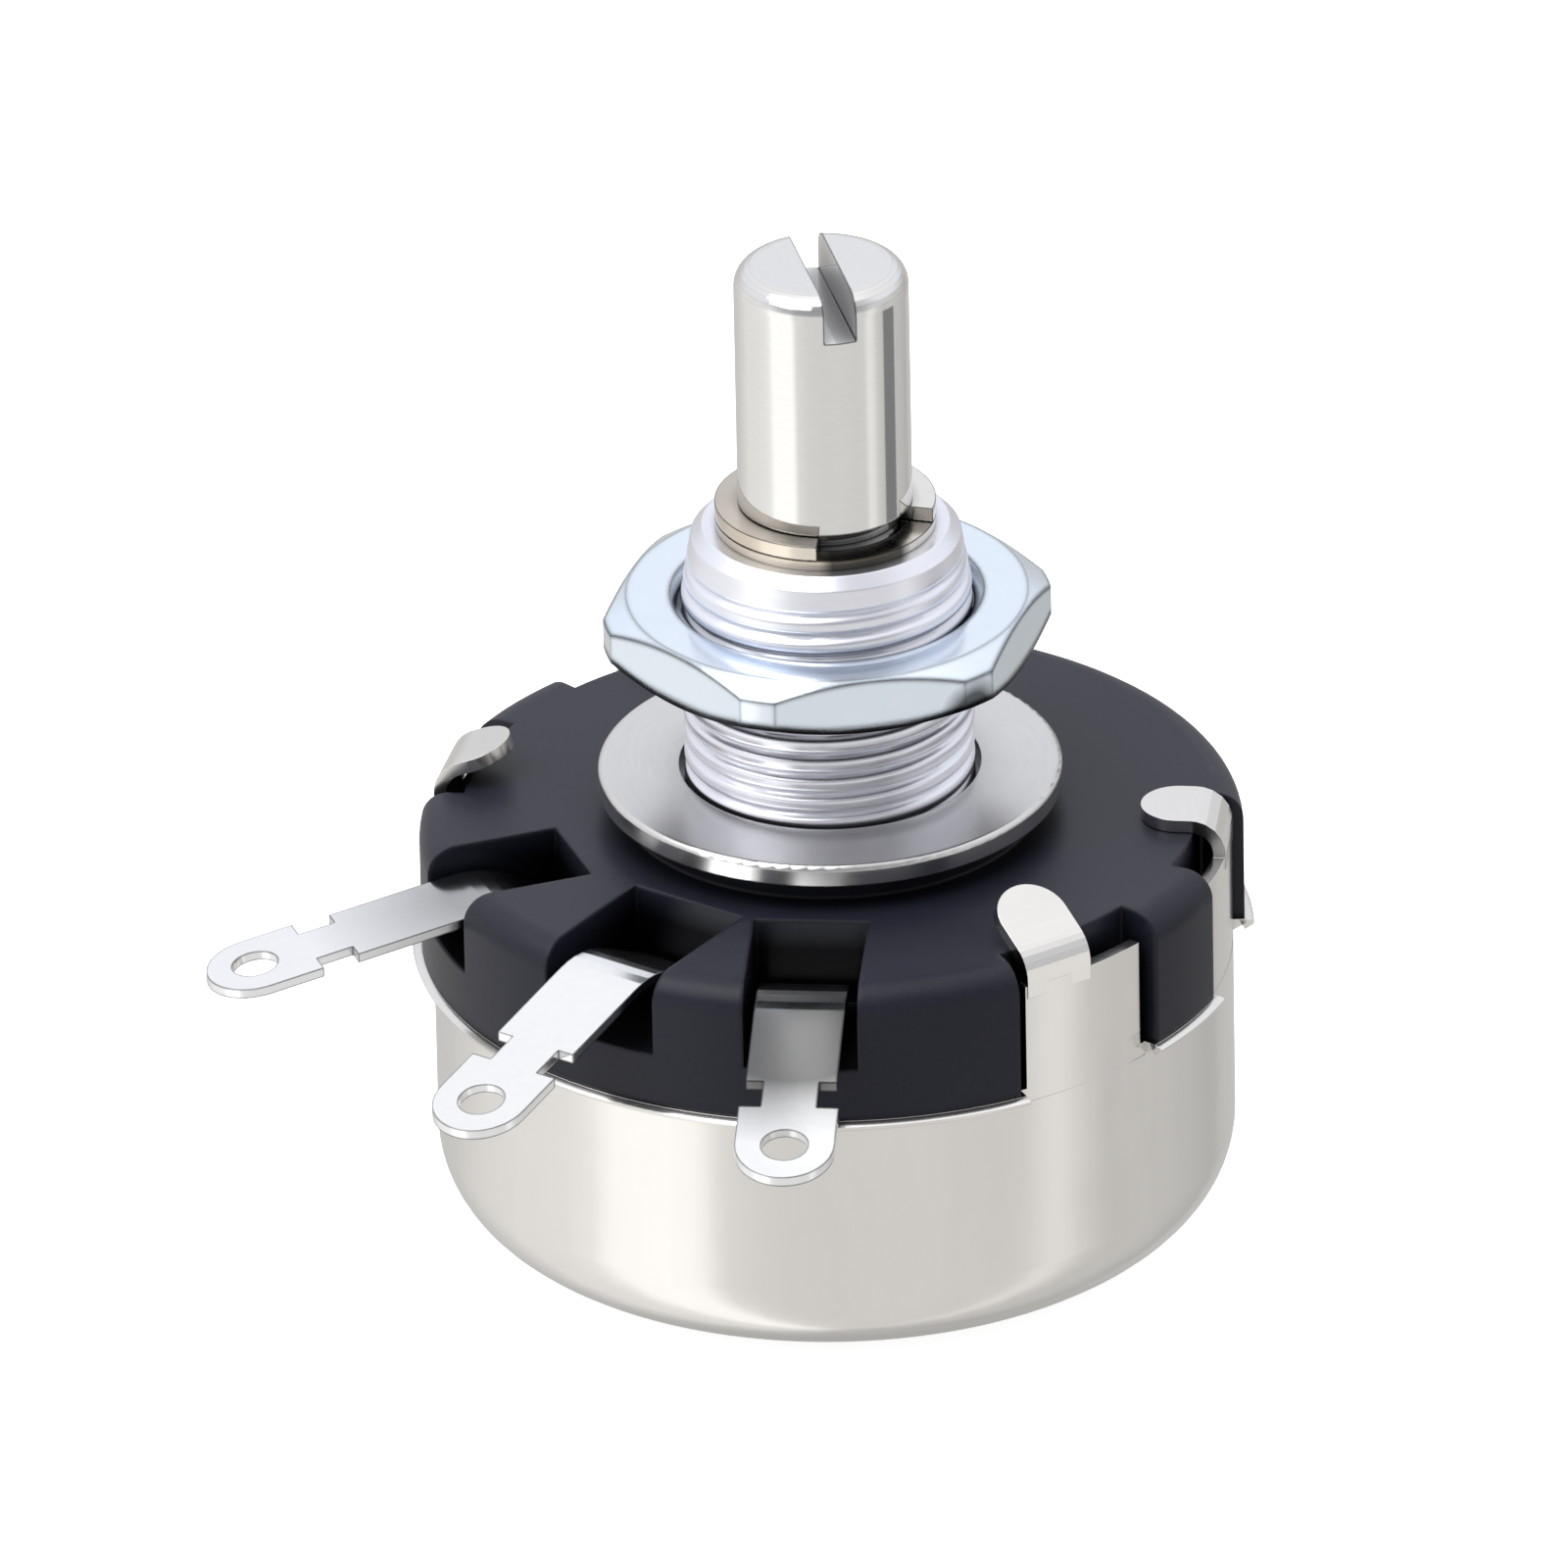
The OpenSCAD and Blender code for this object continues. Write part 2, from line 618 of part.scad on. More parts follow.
module collector_ring() {
    color([0.85, 0.70, 0.35]) translate([0, 0, ring_z]) difference() {
        union() {
            cylinder(r = ring_out_r, h = ring_t);
            translate([-lug_w / 2, -ear_r, 0])
                cube([lug_w, ear_r - ring_out_r + cut, ring_t]);
        }
        translate([0, 0, -cut]) cylinder(r = ring_in_r, h = ring_t + 2 * cut);
    }
}

// Rotor, which points the wiper along +Y at mid travel
module stop_plate() {
    color([0.70, 0.70, 0.70]) difference() {
        union() {
            translate([0, 0, stop_z]) cylinder(r = collar_r, h = stop_t);
            facing(180) sector(shaft_r, stop_arm_r, stop_arm_half, stop_t, stop_z);
        }
        translate([0, 0, stop_z - cut]) cylinder(r = shaft_r + seat_gap, h = stop_t + 2 * cut);
    }
}
module rivet_holes(z, h) {
    for (side = [-1, 1]) translate([0, side * rivet_at, z])
        cylinder(r = rivet_r + seat_gap, h = h, $fn = 32);
}
module rotor_disc() {
    color([0.35, 0.20, 0.12]) difference() {
        translate([0, 0, rotor_z]) cylinder(r = rotor_r, h = rotor_t);
        translate([0, 0, rotor_z - cut]) cylinder(r = tail_r + seat_gap, h = rotor_t + 2 * cut);
        rivet_holes(rotor_z - cut, rotor_t + 2 * cut);
    }
}
module wiper_arm() {
    hub_r = rivet_at + rivet_head_r + arm_t;
    color([0.85, 0.68, 0.36]) difference() {
        translate([0, 0, arm_z]) union() {
            intersection() {
                cylinder(r = hub_r, h = arm_t);
                translate([-hub_w / 2, -far / 2, 0]) cube([hub_w, far, arm_t]);
            }
            translate([-arm_w / 2, 0, 0]) cube([arm_w, track_r, arm_t]);
            translate([0, track_r, 0]) cylinder(r = arm_w / 2, h = arm_t, $fn = 48);
        }
        translate([0, 0, arm_z - cut]) cylinder(r = tail_r + seat_gap, h = arm_t + 2 * cut);
        rivet_holes(arm_z - cut, arm_t + 2 * cut);
    }
}
module wiper_brush() {
    color([0.20, 0.18, 0.18])
        translate([0, track_r, rotor_z]) cylinder(r = brush_r, h = brush_h, $fn = 48);
}
module takeoff_spring() {
    base_z = rotor_top_z + spring_t / 2;
    tip_z = ring_z - slide_gap - spring_t / 2;
    start = [-spring_foot, base_z];
    rise = [spring_foot, base_z];
    touch = [spring_foot + spring_arm, tip_z];
    tip = touch + [spring_tip, -spring_t];
    bend_r = 2 * spring_t;
    path = concat([start], corner(start, rise, touch, bend_r),
        corner(rise, touch, tip, bend_r), [tip]);
    color([0.85, 0.68, 0.36]) difference() {
        translate([0, -rivet_at, 0]) rotate([90, 0, 0])
            linear_extrude(height = spring_w, center = true) polygon(band(path, spring_t));
        rivet_holes(rotor_top_z - cut, 2 * cut);
    }
}
module rotor_rivets() {
    low_z = arm_z - rivet_head_h;
    color([0.85, 0.75, 0.50])
        for (side = [-1, 1]) translate([0, side * rivet_at, 0]) {
            top = rotor_top_z + (side < 0 ? spring_t : 0);
            translate([0, 0, low_z]) cylinder(r = rivet_head_r, h = rivet_head_h, $fn = 32);
            translate([0, 0, low_z])
                cylinder(r = rivet_r, h = top - low_z + rivet_head_h, $fn = 32);
            translate([0, 0, top]) cylinder(r = rivet_head_r, h = rivet_head_h, $fn = 32);
        }
}

can();
liner_disc();
housing();
bushing();
mounting_washer();
mounting_nut();
shaft();
clip_washer();
retaining_clip();
lug_start();
lug_wiper();
lug_end();
winding_former();
resistance_winding();
end_clamps();
collector_ring();
thrust_washer();
stop_plate();
rotor_disc();
wiper_arm();
wiper_brush();
takeoff_spring();
rotor_rivets();
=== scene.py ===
"""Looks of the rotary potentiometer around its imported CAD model.

The CAD nodes keep their shapes and get detailed materials. The bushing gets a piece of its own with the fine
thread that the CAD leaves plain, and the can gets the rolled edge of its mouth. Profiles are in millimetres,
and MM turns them into Blender's metres.
"""

import json
import math

import bpy
from mathutils import Matrix, Vector


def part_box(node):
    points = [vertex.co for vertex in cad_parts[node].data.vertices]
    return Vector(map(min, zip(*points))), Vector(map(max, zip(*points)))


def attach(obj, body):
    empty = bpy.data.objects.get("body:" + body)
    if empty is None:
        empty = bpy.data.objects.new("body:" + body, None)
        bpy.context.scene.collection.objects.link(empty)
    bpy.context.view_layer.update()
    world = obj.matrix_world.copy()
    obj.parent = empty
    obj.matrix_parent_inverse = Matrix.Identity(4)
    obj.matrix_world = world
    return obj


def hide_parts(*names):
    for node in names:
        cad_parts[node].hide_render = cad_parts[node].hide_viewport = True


MM = 0.001

# Camera: the direction that the photograph was taken from, its distance and the point it looks at
CAMERA_AZIMUTH = 35.0
CAMERA_ELEVATION = 27.3
CAMERA_ROLL = -1.15
CAMERA_DISTANCE = 900 * MM
CAMERA_TARGET = Vector((-1.31, -0.92, 15.6)) * MM
CAMERA_NEAR = 0.01
CAMERA_FAR = 20
SENSOR_WIDTH = 36.0
LENS = 600.7

# Key light: its direction, distance, width and power
KEY_AZIMUTH = CAMERA_AZIMUTH - 60
KEY_ELEVATION = 60
KEY_DISTANCE = 0.5
KEY_SIZE = 0.5
KEY_POWER = 1.5

# Upright bands that the metal walls mirror: azimuth from the camera's side, and brightness
BANDS = [(-150, 0.66), (-130, 0.80), (-118, 0.90), (-100, 0.92), (-84, 0.96), (-76, 1.03), (-69, 1.27),
         (-41, 1.27), (-34, 0.88), (-20, 0.80), (0, 0.77), (20, 0.78), (45, 0.75), (56, 0.76), (63, 0.96),
         (69, 0.92), (76, 0.74), (86, 0.64), (100, 0.66), (116, 0.62), (138, 0.52), (180, 0.60)]

# Sky: its strength, the bands' warm tint, how much diffuse rays see of the bands, and the backdrop's strength
SKY_STRENGTH = 2.0
BAND_TINT = (1.0, 0.99, 0.97)
BAND_DIFFUSE = 0.3
BACKDROP_STRENGTH = 1.05

# Sky from the horizon (0) to straight up (1), how far it fades in from the horizon, and how it dims in front
SKY = [(0.0, (0.40, 0.40, 0.40)), (0.30, (0.45, 0.46, 0.49)), (0.8, (0.5, 0.5, 0.51)),
       (0.95, (0.60, 0.60, 0.61))]
SKY_FADE = 0.35
FRONT_DIM = 0.4
FRONT_FROM = 0.05
FRONT_TO = 0.6

# Dark card beside the shaft: its distance, its heights, its directions from the camera's side and its grey
FLAG_R = 60 * MM
FLAG_LOW = -6 * MM
FLAG_HIGH = 9 * MM
FLAG_FROM = 86
FLAG_TO = 104
FLAG_STEP = 2
FLAG_GREY = 0.24

# Floor: half its width, how far it lies below the part, its colour, its roughness and its own glow
FLOOR_HALF = 3.0
FLOOR_DROP = 0.02 * MM
FLOOR_GREY = 0.9
FLOOR_ROUGH = 0.9
FLOOR_GLOW = 0.75

# Thread of the bushing in millimetres, its run-ins at both ends, and the fineness of the lathed mesh
PITCH = 0.75
THREAD_DEPTH = 0.22
THREAD_FROM = 0.15
THREAD_END = 0.25
THREAD_SHARPNESS = 3
FADE_IN = 0.5 * PITCH
FADE_OUT = 1.2 * PITCH
ROWS_PER_TURN = 14
AROUND = 144
SMOOTH_BELOW = math.radians(35)

# Bushing in millimetres: bore, shank, stake under the housing's floor, collar in the boss, barrel and lead
BORE_R = 3.03
SHANK_R = 4.3
STAKE_R = 4.7
STAKE_H = 0.4
SEAT_T = 0.7
THREAD_R = 5.0
LEAD_H = 2.4
LEAD_DROP = 0.35
LEAD_EDGE = 0.4

# Rolled edge of the can in millimetres: the rim's radius and height, and the edge's section as (outward, up)
LIP_R = 14.25
CAN_H = 10.0
RIM_SIDE = [(-0.25, -0.02), (-0.05, 0.0), (0.20, -0.05), (0.28, -0.12), (0.24, -0.22), (-0.05, -0.40)]

# Where the strips interrupt the rolled edge, in degrees from the front, half a gap and a step of the arc
NEAR_STRIP = 73.5
FAR_STRIP = 113.5
STRIP_HALF = 11.5
RIM_STEP = 1.5

# Marks: height of their relief, and how far the fine marks and the soft clouds mix
RELIEF = 0.02 * MM
FINE_DETAIL = 4.0
FINE_ROUGH = 0.55
FINE_SHARE = 0.6
CLOUD_FINENESS = (260, 260, 260)
CLOUD_DETAIL = 2.0
CLOUD_SHARE = 0.4
MARKS_LOW = 0.3
MARKS_HIGH = 0.7
TURN_SCALE = 0.002

# Fineness of the marks of a lathe and of a deep-drawn wall: round the axis, along it and away from it
LATHE = (3000, 6000, 6000)
DRAWN = (7000, 150, 7000)

# Edges: how far the rounded normal leans where it counts as flat and as an edge, for the painted dark
# reflection along edges, and the same for underlines, the painted shadow along the lower edges
EDGE_FLAT = 0.998
EDGE_BENT = 0.93
EDGE_SAMPLES = 6
UNDERLINE_SHADE = 0.02
UNDERLINE_BENT = -0.22
UNDERLINE_FLAT = -0.12
UNDERLINE_SAMPLES = 16

# Painted shade in crevices: the share of open sky at which it is darkest, and at which it no longer darkens
CREVICE_CLOSED = 0.1
CREVICE_OPEN = 0.75
CREVICE_SAMPLES = 8

# Painted reflection on the retaining clip and its washer: colours round the axis that they mirror, with one
# dark stretch
CLIP_PAINTED_REFLECTION = [(0.35, (0.66, 0.62, 0.56)), (0.45, (0.78, 0.71, 0.62)), (0.585, (1.0, 0.95, 0.86)),
             (0.605, (0.18, 0.175, 0.16)), (0.715, (0.12, 0.12, 0.11)), (0.735, (0.96, 0.96, 0.95))]

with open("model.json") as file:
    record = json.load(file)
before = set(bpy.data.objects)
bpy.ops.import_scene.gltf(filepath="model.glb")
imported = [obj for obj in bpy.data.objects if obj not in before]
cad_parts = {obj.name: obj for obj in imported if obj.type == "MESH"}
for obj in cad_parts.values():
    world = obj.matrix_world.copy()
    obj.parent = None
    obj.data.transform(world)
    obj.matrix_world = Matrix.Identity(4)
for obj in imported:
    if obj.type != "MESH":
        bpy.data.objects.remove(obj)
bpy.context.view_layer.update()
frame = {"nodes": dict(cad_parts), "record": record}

# Painted dark places as (centre, inner radius, outer radius, shade): a painted reflection on the end lug and
# painted shade on the start lug
LUG_PAINTED_SHADE_AND_REFLECTION = [(Vector((7.6, -13.2, 13.9)) * MM, 2.6 * MM, 6.0 * MM, 0.16),
           (Vector((-7.3, -10.2, 13.8)) * MM, 1.5 * MM, 6.5 * MM, 0.45)]

# Painted dark reflection at the foot of the nut's corner on the right, seen from the camera's side
NUT_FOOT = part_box("mounting_nut")[0].z / MM + 0.4
NUT_PAINTED_REFLECTION = [(Vector((7.47, -2.08, NUT_FOOT)) * MM, 0.6 * MM, 1.2 * MM, 0.15)]

# Shade in the housing's lug pockets: the shade, two distances from the axis and two heights
BOSS_H = 0.95 * MM
POCKET_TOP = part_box("housing")[1].z - BOSS_H
POCKETS = (0.2, 10.0 * MM, 12.5 * MM, POCKET_TOP - 1.1 * MM, POCKET_TOP - 0.2 * MM)


class Nodes:
    """Adds nodes to one tree and links them by socket name or number."""

    def __init__(self, tree):
        """Starts with an empty tree."""
        self.tree = tree
        tree.nodes.clear()

    def add(self, kind, **settings):
        """A new node with the given settings."""
        node = self.tree.nodes.new(kind)
        for name, value in settings.items():
            setattr(node, name, value)
        return node

    def link(self, out, into):
        """Joins an output to an input."""
        self.tree.links.new(out, into)

    def value(self, operation, a, b):
        """A Math node; a and b are numbers or sockets."""
        node = self.add("ShaderNodeMath", operation=operation)
        for i, x in enumerate((a, b)):
            if isinstance(x, (int, float)):
                node.inputs[i].default_value = x
            else:
                self.link(x, node.inputs[i])
        return node.outputs[0]

    def separated(self, vector):
        """The X, Y and Z of a vector."""
        node = self.add("ShaderNodeSeparateXYZ")
        self.link(vector, node.inputs[0])
        return node.outputs["X"], node.outputs["Y"], node.outputs["Z"]

    def compared(self, operation, vector, other):
        """The value that a Vector Math node gives for a vector and another vector or socket."""
        node = self.add("ShaderNodeVectorMath", operation=operation)
        self.link(vector, node.inputs[0])
        if isinstance(other, Vector):
            node.inputs[1].default_value = other
        else:
            self.link(other, node.inputs[1])
        return node.outputs["Value"]

    def ramp(self, fac, stops):
        """A colour ramp from a list of (place, colour) in rising order."""
        node = self.add("ShaderNodeValToRGB")
        elements = node.color_ramp.elements
        elements.remove(elements[1])
        elements[0].position = stops[0][0]
        elements[0].color = (*stops[0][1], 1)
        for place, colour in stops[1:]:
            elements.new(place).color = (*colour, 1)
        self.link(fac, node.inputs["Fac"])
        return node.outputs["Color"]

    def noise(self, vector, detail, rough=0.5):
        """Smooth noise over a vector."""
        node = self.add("ShaderNodeTexNoise")
        node.inputs["Scale"].default_value = 1.0
        node.inputs["Detail"].default_value = detail
        node.inputs["Roughness"].default_value = rough
        self.link(vector, node.inputs["Vector"])
        return node.outputs["Fac"]

    def stretched(self, vector, scale):
        """A vector times a scale along each axis."""
        node = self.add("ShaderNodeMapping")
        node.inputs["Scale"].default_value = scale
        self.link(vector, node.inputs["Vector"])
        return node.outputs["Vector"]

    def multiplied(self, colour, factor):
        """A colour times a grey value."""
        node = self.add("ShaderNodeMix", data_type="RGBA", blend_type="MULTIPLY")
        node.inputs["Factor"].default_value = 1.0
        self.link(colour, node.inputs["A"])
        self.link(factor, node.inputs["B"])
        return node.outputs["Result"]

    def span(self, value, low, high, start=0.0, stop=1.0):
        """A value between start and stop, spread over low..high."""
        node = self.add("ShaderNodeMapRange")
        node.inputs["From Min"].default_value = start
        node.inputs["From Max"].default_value = stop
        node.inputs["To Min"].default_value = low
        node.inputs["To Max"].default_value = high
        self.link(value, node.inputs["Value"])
        return node.outputs["Result"]

    def bevel(self, radius, samples):
        """The normal of the surface with its edges rounded by a radius."""
        node = self.add("ShaderNodeBevel", samples=samples)
        node.inputs["Radius"].default_value = radius
        return node.outputs["Normal"]

    def bump(self, height, strength, distance, normal):
        """A normal bent by a height."""
        node = self.add("ShaderNodeBump")
        node.inputs["Strength"].default_value = strength
        node.inputs["Distance"].default_value = distance
        self.link(height, node.inputs["Height"])
        self.link(normal, node.inputs["Normal"])
        return node.outputs["Normal"]


def grey(v):
    """A colour or scale with three equal parts."""
    return (v, v, v)


def direction(azimuth, elevation):
    """The unit vector towards an azimuth (from -Y towards +X) and an elevation, in degrees."""
    a, e = math.radians(azimuth), math.radians(elevation)
    return Vector((math.sin(a) * math.cos(e), -math.cos(a) * math.cos(e), math.sin(e)))


def round_the_axis(nodes, place):
    """The direction round the axis over 0..1: 0.5 faces -Y, and it grows towards +X."""
    x, y, _ = nodes.separated(place)
    turn = nodes.value("ARCTAN2", x, nodes.value("MULTIPLY", y, -1.0))
    return nodes.value("ADD", nodes.value("DIVIDE", turn, 2 * math.pi), 0.5)


def polar(nodes, place):
    """The place as (turn round the axis, height, distance from it), so that marks can follow a lathe."""
    x, y, z = nodes.separated(place)
    turn = nodes.value("ARCTAN2", y, x)
    squares = nodes.value("ADD", nodes.value("POWER", x, 2.0), nodes.value("POWER", y, 2.0))
    joined = nodes.add("ShaderNodeCombineXYZ")
    nodes.link(nodes.value("MULTIPLY", turn, TURN_SCALE), joined.inputs["X"])
    nodes.link(z, joined.inputs["Y"])
    nodes.link(nodes.value("POWER", squares, 0.5), joined.inputs["Z"])
    return joined.outputs[0]


def in_pockets(nodes, place, shade, near, far, low, high):
    """A factor that falls to shade near the axis and low, where only the lug pockets show."""
    _, height, out = nodes.separated(polar(nodes, place))
    outward = nodes.span(out, shade, 1.0, near, far)
    upward = nodes.span(height, shade, 1.0, low, high)
    return nodes.value("MAXIMUM", outward, upward)


def surface(name, dark, light, rough, metallic=1.0, marks=(900, 900, 900), turned=False, bump=0.05,
            edge=0.00008, painted_edge_reflection=0.0, painted_crevice_shade=0.0, reach=0.0008, specular=0.5, painted_reflection_ramp=None, wave=0.0,
            painted_underside_shadow=0.0, painted_dark_patches=(), hollow=None):
    """A metal or plastic whose colour, roughness and height vary with marks of a given fineness (per metre).

    turned makes the marks follow a lathe, and bump is their strength. edge is the radius that the edges look
    rounded by, and outline how much a painted dark reflection darkens them. crevice is how much painted shade
    darkens narrow places within reach, tint an extra colour ramp round the axis that paints a reflection, and
    wave the height of shallow dents. underline is the width of a painted dark shadow along the lower edges.
    spots are painted dark patches of reflection and shade as (centre, inner radius, outer radius, shade), and
    hollow shades the lug pockets, as in_pockets takes it.
    """
    material = bpy.data.materials.new(name)
    material.use_nodes = True
    nodes = Nodes(material.node_tree)
    place = nodes.add("ShaderNodeTexCoord").outputs["Object"]
    along = polar(nodes, place) if turned else place
    fine = nodes.noise(nodes.stretched(along, marks), FINE_DETAIL, FINE_ROUGH)
    cloud = nodes.noise(nodes.stretched(place, CLOUD_FINENESS), CLOUD_DETAIL)
    fine_part = nodes.value("MULTIPLY", fine, FINE_SHARE)
    mixed = nodes.value("ADD", fine_part, nodes.value("MULTIPLY", cloud, CLOUD_SHARE))
    colour = nodes.ramp(mixed, [(MARKS_LOW, dark), (MARKS_HIGH, light)])
    rounded = nodes.bevel(edge, EDGE_SAMPLES)
    shader = nodes.add("ShaderNodeBsdfPrincipled")
    shader.inputs["Metallic"].default_value = metallic
    shader.inputs["Specular IOR Level"].default_value = specular
    nodes.link(nodes.span(mixed, *rough), shader.inputs["Roughness"])
    # Painted reflection: a colour ramp round the axis, multiplied into the colour
    if painted_reflection_ramp:
        colour = nodes.multiplied(colour, nodes.ramp(round_the_axis(nodes, place), painted_reflection_ramp))
    # Painted dark patches of reflection and shade, each fading out from its inner to its outer radius
    for centre, inner, outer, shade in painted_dark_patches:
        away = nodes.compared("DISTANCE", place, centre)
        colour = nodes.multiplied(colour, nodes.span(away, shade, 1.0, inner, outer))
    # Painted shade in the lug pockets, on the colour and on the specular level
    if hollow:
        pocket_shade = in_pockets(nodes, place, *hollow)
        colour = nodes.multiplied(colour, pocket_shade)
        nodes.link(nodes.value("MULTIPLY", pocket_shade, specular), shader.inputs["Specular IOR Level"])
    # Painted shadow: a dark line along the lower edges, where the rounded normal points down
    if painted_underside_shadow:
        _, _, up = nodes.separated(nodes.bevel(painted_underside_shadow, UNDERLINE_SAMPLES))
        line = nodes.span(up, UNDERLINE_SHADE, 1.0, UNDERLINE_BENT, UNDERLINE_FLAT)
        colour = nodes.multiplied(colour, line)
    # Painted dark reflection along the edges, where the rounded normal leans away from the true normal
    if painted_edge_reflection:
        bent = nodes.compared("DOT_PRODUCT", rounded, nodes.add("ShaderNodeNewGeometry").outputs["Normal"])
        colour = nodes.multiplied(colour, nodes.span(bent, 1 - painted_edge_reflection, 1.0, EDGE_BENT, EDGE_FLAT))
    # Painted shade: narrow places darken by how little open sky they see
    if painted_crevice_shade:
        open_sky = nodes.add("ShaderNodeAmbientOcclusion", samples=CREVICE_SAMPLES)
        open_sky.inputs["Distance"].default_value = reach
        shade = nodes.span(open_sky.outputs["AO"], 1 - painted_crevice_shade, 1.0, CREVICE_CLOSED, CREVICE_OPEN)
        colour = nodes.multiplied(colour, shade)
    nodes.link(colour, shader.inputs["Base Color"])
    dented = nodes.bump(cloud, 1.0, wave, rounded)
    nodes.link(nodes.bump(fine, bump, RELIEF, dented), shader.inputs["Normal"])
    nodes.link(shader.outputs["BSDF"], nodes.add("ShaderNodeOutputMaterial").inputs["Surface"])
    return material


def all_materials():
    """One material for each material slot of the record."""
    return {
        "can": surface("nickel_sheet", (0.78, 0.763, 0.742), (0.82, 0.803, 0.782), (0.15, 0.21),
                       marks=DRAWN, turned=True, edge=0.03 * MM, painted_crevice_shade=0.5, reach=0.002, wave=0.02 * MM),
        "liner": surface("insulating_paper", (0.42, 0.32, 0.19), (0.58, 0.47, 0.31), (0.8, 0.95), 0.0),
        "housing": surface("black_moulding", (0.014, 0.0155, 0.026), (0.020, 0.0215, 0.036), (0.34, 0.44),
                           0.0, marks=grey(5000), bump=0.12, edge=0.00022, specular=0.27, painted_crevice_shade=0.92,
                           reach=0.0045, hollow=POCKETS),
        "bushing": surface("zinc_plate_lilac", (0.85, 0.86, 0.93), (0.90, 0.91, 0.98), (0.26, 0.32),
                           marks=LATHE, turned=True, bump=0.02, painted_crevice_shade=0.6, reach=0.0005),
        "washer": surface("polished_steel", (0.66, 0.655, 0.65), (0.72, 0.715, 0.71), (0.22, 0.30),
                          marks=LATHE, turned=True, bump=0.03, painted_crevice_shade=0.8, reach=0.004),
        "nut": surface("zinc_plate_blue", (0.81, 0.89, 0.99), (0.84, 0.92, 1.0), (0.10, 0.16),
                       marks=grey(1200), edge=0.00032, painted_edge_reflection=0.97, painted_crevice_shade=0.6, painted_underside_shadow=0.8 * MM,
                       painted_dark_patches=NUT_PAINTED_REFLECTION),
        "shaft": surface("turned_nickel", (0.78, 0.775, 0.765), (0.82, 0.815, 0.805), (0.06, 0.10),
                         marks=LATHE, turned=True, bump=0.01, edge=0.0001, painted_edge_reflection=0.92, painted_crevice_shade=0.92,
                         reach=0.0022),
        "clip_washer": surface("bronze_washer", (0.74, 0.70, 0.63), (0.84, 0.80, 0.73), (0.14, 0.24),
                               painted_edge_reflection=0.9, painted_crevice_shade=0.6, painted_reflection_ramp=CLIP_PAINTED_REFLECTION),
        "clip": surface("spring_steel", (0.82, 0.80, 0.77), (0.90, 0.88, 0.85), (0.10, 0.2), painted_edge_reflection=0.95,
                        painted_crevice_shade=0.8, painted_reflection_ramp=CLIP_PAINTED_REFLECTION),
        "lug": surface("tinned_brass", (0.90, 0.91, 0.92), (0.94, 0.95, 0.96), (0.12, 0.2),
                       marks=grey(3500), edge=0.0001, painted_edge_reflection=0.85, painted_crevice_shade=0.6, painted_dark_patches=LUG_PAINTED_SHADE_AND_REFLECTION),
        "former": surface("insulating_card", (0.42, 0.29, 0.14), (0.60, 0.46, 0.26), (0.7, 0.9), 0.0),
        "resistance_wire": surface("resistance_wire", (0.48, 0.44, 0.38), (0.70, 0.66, 0.60), (0.25, 0.4)),
        "spring_brass": surface("spring_brass", (0.68, 0.52, 0.24), (0.88, 0.73, 0.40), (0.18, 0.32)),
        "rotor_board": surface("laminated_board", (0.14, 0.07, 0.035), (0.24, 0.13, 0.07), (0.4, 0.6), 0.0),
        "brush": surface("carbon", (0.02, 0.02, 0.02), (0.06, 0.06, 0.06), (0.45, 0.65), 0.0),
    }


def dress(materials):
    """Gives each CAD node the material of its slot in the record."""
    slot_of = {part["node"]: part["material_slot"] for part in frame["record"]["subparts"]}
    for name, node in frame["nodes"].items():
        for material_slot in node.material_slots:
            material_slot.material = materials[slot_of[name]]


def new_object(name, vertices, faces):
    """A mesh object in the scene."""
    mesh = bpy.data.meshes.new(name)
    mesh.from_pydata(vertices, [], faces)
    mesh.update()
    piece = bpy.data.objects.new(name, mesh)
    bpy.context.scene.collection.objects.link(piece)
    return piece


def smooth(piece, material):
    """Gives a piece its material and smooth shading, sharp at its real edges."""
    piece.data.materials.append(material)
    for face in piece.data.polygons:
        face.use_smooth = True
    piece.data.set_sharp_from_angle(angle=SMOOTH_BELOW)


def lathe_rows(profile, step):
    """Points along a profile of (radius, height), each stretch cut into steps no longer than step."""
    rows = []
    for (r0, z0), (r1, z1) in zip(profile, profile[1:]):
        count = max(1, math.ceil(math.hypot(r1 - r0, z1 - z0) / step))
        rows += [(r0 + (r1 - r0) * i / count, z0 + (z1 - z0) * i / count) for i in range(count)]
    return rows + [profile[-1]]


def thread_cut(turn, z, start, stop):
    """How deep the thread is at a turn (radians) and height: a right-hand groove that fades at both ends."""
    phase = (z - start) / PITCH - turn / (2 * math.pi)
    groove = (0.5 - 0.5 * math.cos(2 * math.pi * phase)) ** THREAD_SHARPNESS
    fade = min(1.0, (z - start) / FADE_IN, (stop - z) / FADE_OUT)
    return THREAD_DEPTH * groove * max(0.0, fade)


def lathe_mesh(name, rows, cut):
    """A closed body of revolution; cut(turn, z) is taken off the radius of each threaded row."""
    vertices, faces = [], []
    for radius, z, threaded in rows:
        for k in range(AROUND):
            turn = 2 * math.pi * k / AROUND
            r = radius - (cut(turn, z) if threaded else 0)
            vertices.append((r * math.cos(turn) * MM, r * math.sin(turn) * MM, z * MM))
    count = len(rows)
    for i in range(count):
        j = (i + 1) % count
        for k in range(AROUND):
            m = (k + 1) % AROUND
            faces.append((i * AROUND + k, i * AROUND + m, j * AROUND + m, j * AROUND + k))
    return new_object(name, vertices, faces)


